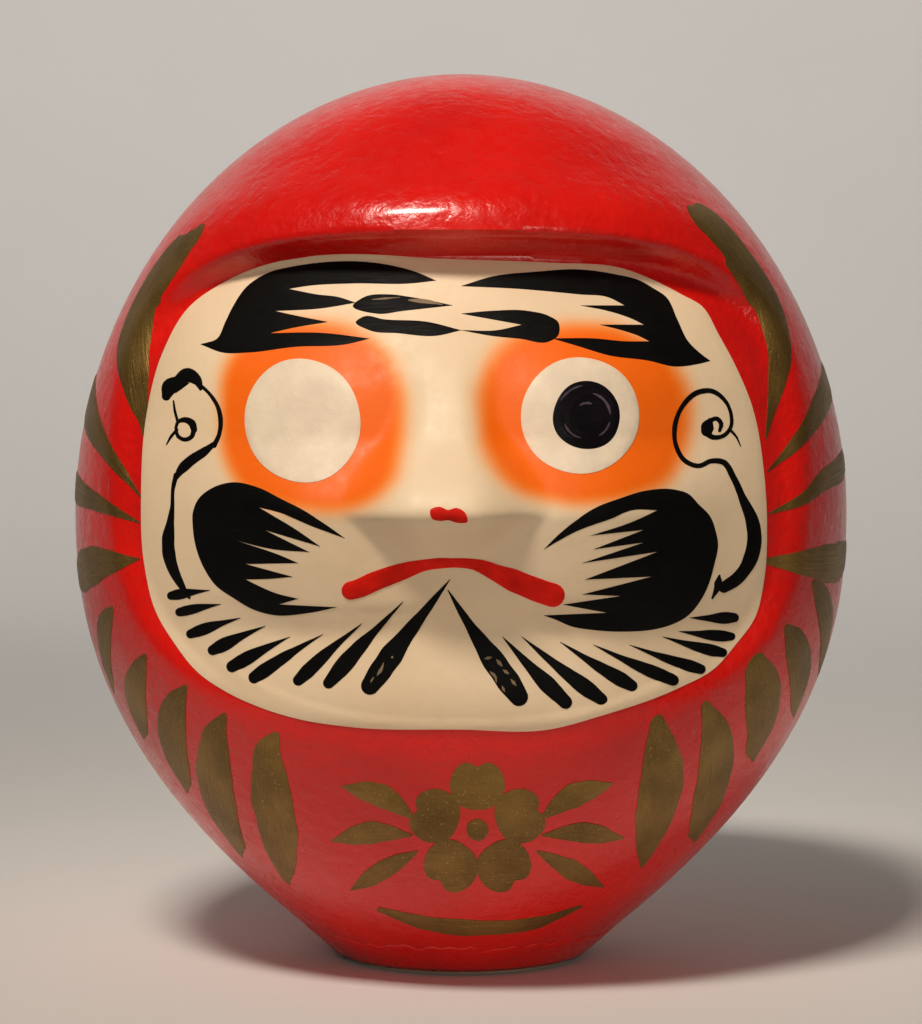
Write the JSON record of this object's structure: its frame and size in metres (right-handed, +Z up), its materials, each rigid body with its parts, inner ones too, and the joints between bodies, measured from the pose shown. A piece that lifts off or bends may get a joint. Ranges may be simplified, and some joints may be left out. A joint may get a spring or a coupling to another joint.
{
  "type": "daruma doll",
  "caption": "Round self-righting papier-mache wishing doll with a sunk painted face, a plain red hood and a weighted flat foot.",
  "frame": {"origin": "centre of the flat foot, on the surface that the doll stands on", "axes": "+Z up the doll, longest; the face looks along -Y; +X is to the viewer's right"},
  "size_m": [0.14, 0.1419, 0.16],
  "materials": {
    "red_paint": "papier-mache under semi-gloss red paint",
    "ivory_paint": "paper clay under satin ivory paint",
    "fired_clay": "unglazed fired clay",
    "kraft_paper": "plain matte paper",
    "washi_paper": "pasted matte paper strip",
    "black_paint": "brushed satin black paint",
    "gold_paint": "brushed metallic gold paint",
    "lip_paint": "brushed satin dark red paint"
  },
  "bodies": {
    "root": {"front_shell": "red_paint", "back_shell": "red_paint", "nose": "ivory_paint", "base_weight": "fired_clay", "base_paper": "kraft_paper", "base_rim_strip": "red_paint", "seam_strip_left": "washi_paper", "seam_strip_right": "washi_paper", "seam_strip_crown": "washi_paper"}
  },
  "joints": []
}
